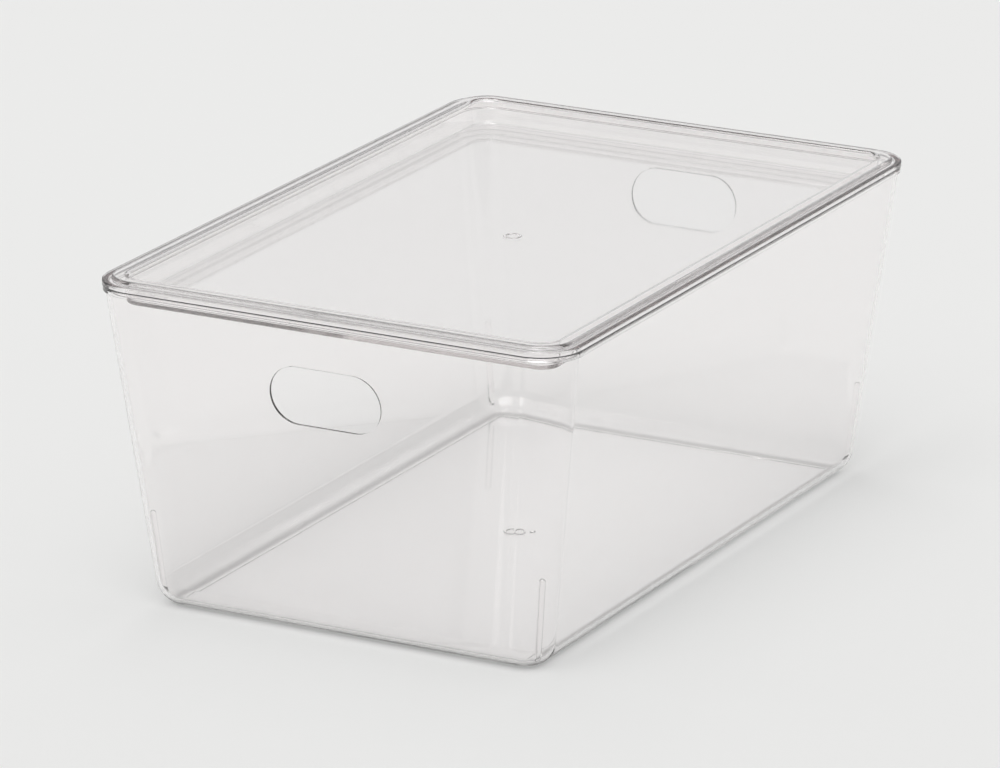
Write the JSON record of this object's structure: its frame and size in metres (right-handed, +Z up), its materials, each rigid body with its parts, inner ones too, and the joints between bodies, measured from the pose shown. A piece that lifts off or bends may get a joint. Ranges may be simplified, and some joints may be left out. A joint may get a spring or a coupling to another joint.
{
  "type": "storage box with lid",
  "caption": "Clear plastic storage box with tapered walls, rounded corners, a hand hole in each end and a lift-off lid with a sunken panel.",
  "frame": {"origin": "middle of the tub's underside, on the table", "axes": "+X along the length towards one hand hole, +Y across the width, +Z up through the lid"},
  "size_m": [0.447, 0.3, 0.1954],
  "materials": {
    "tub_plastic": "clear, polished",
    "lid_plastic": "clear, polished"
  },
  "bodies": {
    "tub": {"tub": "tub_plastic"},
    "lid": {"lid": "lid_plastic"}
  },
  "joints": [
    {"name": "lid_lift", "type": "slide", "parent": "tub", "child": "lid", "axis": [0, 0, 1], "range_m": [0, 0.16]}
  ]
}
